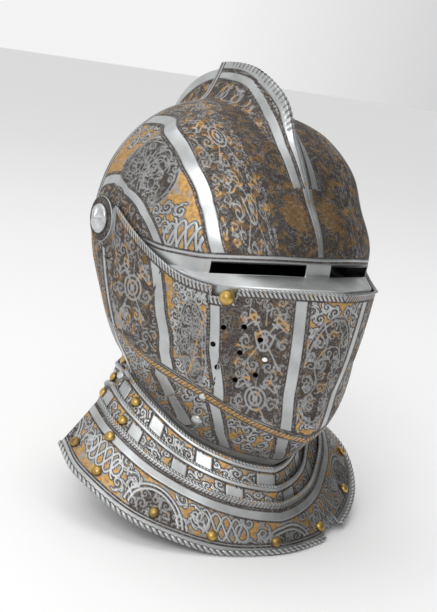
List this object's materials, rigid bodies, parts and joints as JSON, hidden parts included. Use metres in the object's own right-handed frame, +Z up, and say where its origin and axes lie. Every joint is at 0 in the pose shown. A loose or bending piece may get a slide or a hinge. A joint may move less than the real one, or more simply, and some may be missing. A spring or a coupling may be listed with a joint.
{
  "type": "close helmet",
  "caption": "Etched and part-gilt close helmet with a combed skull, a visor with sights, a pivoted bevor in two plates and a flared neck gorget of lames.",
  "frame": {"origin": "on the floor under the middle of the helmet's box", "axes": "+Z up, the face looks along -Y, the wearer's right is -X"},
  "size_m": [0.2448, 0.255, 0.3225],
  "materials": {
    "etched_steel": "etched and part gilt",
    "bright_steel": "polished",
    "brass": "worn"
  },
  "bodies": {
    "skull": {"skull": "etched_steel", "rear_lame_1": "etched_steel", "rear_lame_2": "etched_steel", "rear_gorget_plate": "etched_steel", "pivot_rosette_right": "bright_steel", "pivot_rosette_left": "bright_steel", "rear_rim_rivet_1": "brass", "rear_rim_rivet_2": "brass", "rear_rim_rivet_3": "brass", "rear_rim_rivet_4": "brass", "rear_rim_rivet_5": "brass", "rear_rim_rivet_6": "brass", "rear_rim_rivet_7": "brass", "rear_lame_rivet_right_1": "brass", "rear_lame_rivet_right_2": "brass", "rear_lame_rivet_right_3": "brass", "rear_lame_rivet_left_1": "brass", "rear_lame_rivet_left_2": "brass", "rear_lame_rivet_left_3": "brass"},
    "lower_bevor": {"lower_bevor": "etched_steel", "front_lame_1": "etched_steel", "front_lame_2": "etched_steel", "front_gorget_plate": "etched_steel", "catch_button": "bright_steel", "neck_turning_pin": "bright_steel", "front_rim_rivet_1": "brass", "front_rim_rivet_2": "brass", "front_rim_rivet_3": "brass", "front_rim_rivet_4": "brass", "front_rim_rivet_5": "brass", "front_rim_rivet_6": "brass", "front_rim_rivet_7": "brass", "front_rim_rivet_8": "brass", "front_rim_rivet_9": "brass", "front_lame_rivet_right_1": "brass", "front_lame_rivet_right_2": "brass", "front_lame_rivet_right_3": "brass", "front_lame_rivet_left_1": "brass", "front_lame_rivet_left_2": "brass", "front_lame_rivet_left_3": "brass"},
    "upper_bevor": {"upper_bevor": "etched_steel", "catch_stud": "bright_steel"},
    "visor": {"visor": "etched_steel", "lifting_peg": "brass"}
  },
  "joints": [
    {"name": "lower_bevor_hinge", "type": "hinge", "parent": "skull", "child": "lower_bevor", "pos_m": [0, 0.03042, 0.2018], "axis": [-1, 0, 0], "range_deg": [0, 14]},
    {"name": "upper_bevor_hinge", "type": "hinge", "parent": "lower_bevor", "child": "upper_bevor", "pos_m": [0, 0.03042, 0.2018], "axis": [-1, 0, 0], "range_deg": [0, 10]},
    {"name": "visor_hinge", "type": "hinge", "parent": "upper_bevor", "child": "visor", "pos_m": [0, 0.03042, 0.2018], "axis": [-1, 0, 0], "range_deg": [0, 12]}
  ]
}
